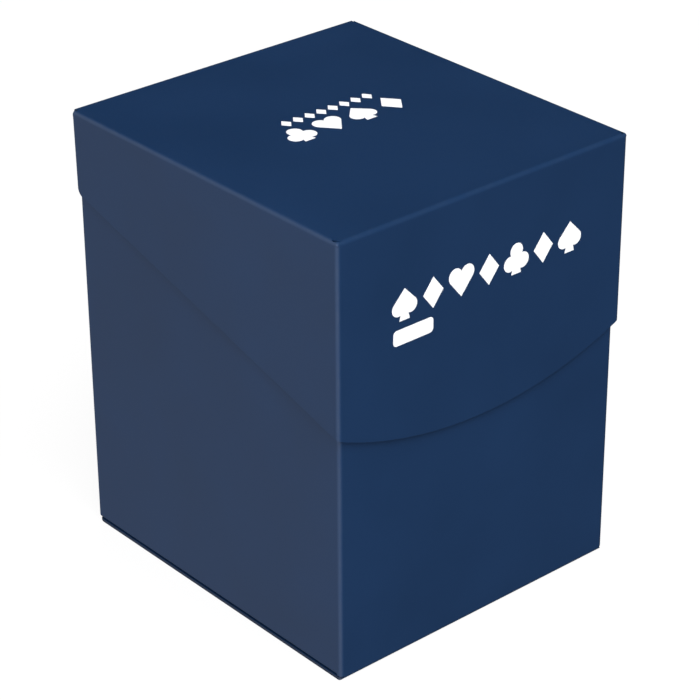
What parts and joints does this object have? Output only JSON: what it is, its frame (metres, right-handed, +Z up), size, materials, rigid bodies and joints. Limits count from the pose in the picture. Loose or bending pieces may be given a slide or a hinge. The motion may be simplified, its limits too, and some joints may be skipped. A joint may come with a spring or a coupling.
{
  "type": "card deck box",
  "caption": "Rectangular flip-top box for a deck of sleeved trading cards, folded from dark blue satin plastic sheet, with a loose card divider.",
  "frame": {"origin": "middle of the footprint, on the surface that the box stands on", "axes": "+Z up, -Y the front with the lid's flap, X across the front"},
  "size_m": [0.077, 0.084, 0.099],
  "materials": {
    "blue_sheet": "satin polypropylene sheet with a very fine grain",
    "frosted_sheet": "frosted, milky polypropylene sheet"
  },
  "bodies": {
    "case": {"front_panel": "blue_sheet", "back_panel": "blue_sheet", "bottom_panel": "blue_sheet", "left_side_panel": "blue_sheet", "right_side_panel": "blue_sheet", "left_dust_flap": "blue_sheet", "right_dust_flap": "blue_sheet", "back_left_glue_tab": "blue_sheet", "back_right_glue_tab": "blue_sheet", "lid_hinge": "blue_sheet"},
    "lid": {"lid_top_panel": "blue_sheet", "lid_front_flap": "blue_sheet", "lid_left_wing": "blue_sheet", "lid_right_wing": "blue_sheet", "lid_left_glue_tab": "blue_sheet", "lid_right_glue_tab": "blue_sheet"},
    "divider": {"card_divider": "frosted_sheet"}
  },
  "joints": [
    {"name": "lid_turn", "type": "hinge", "parent": "case", "child": "lid", "pos_m": [0, 0.04208, 0.09913], "axis": [-1, 0, 0], "range_deg": [0, 270], "deforming": ["lid_hinge"]},
    {"name": "divider_slide", "type": "slide", "parent": "case", "child": "divider", "axis": [0, -1, 0], "range_m": [0, 0.08]}
  ]
}
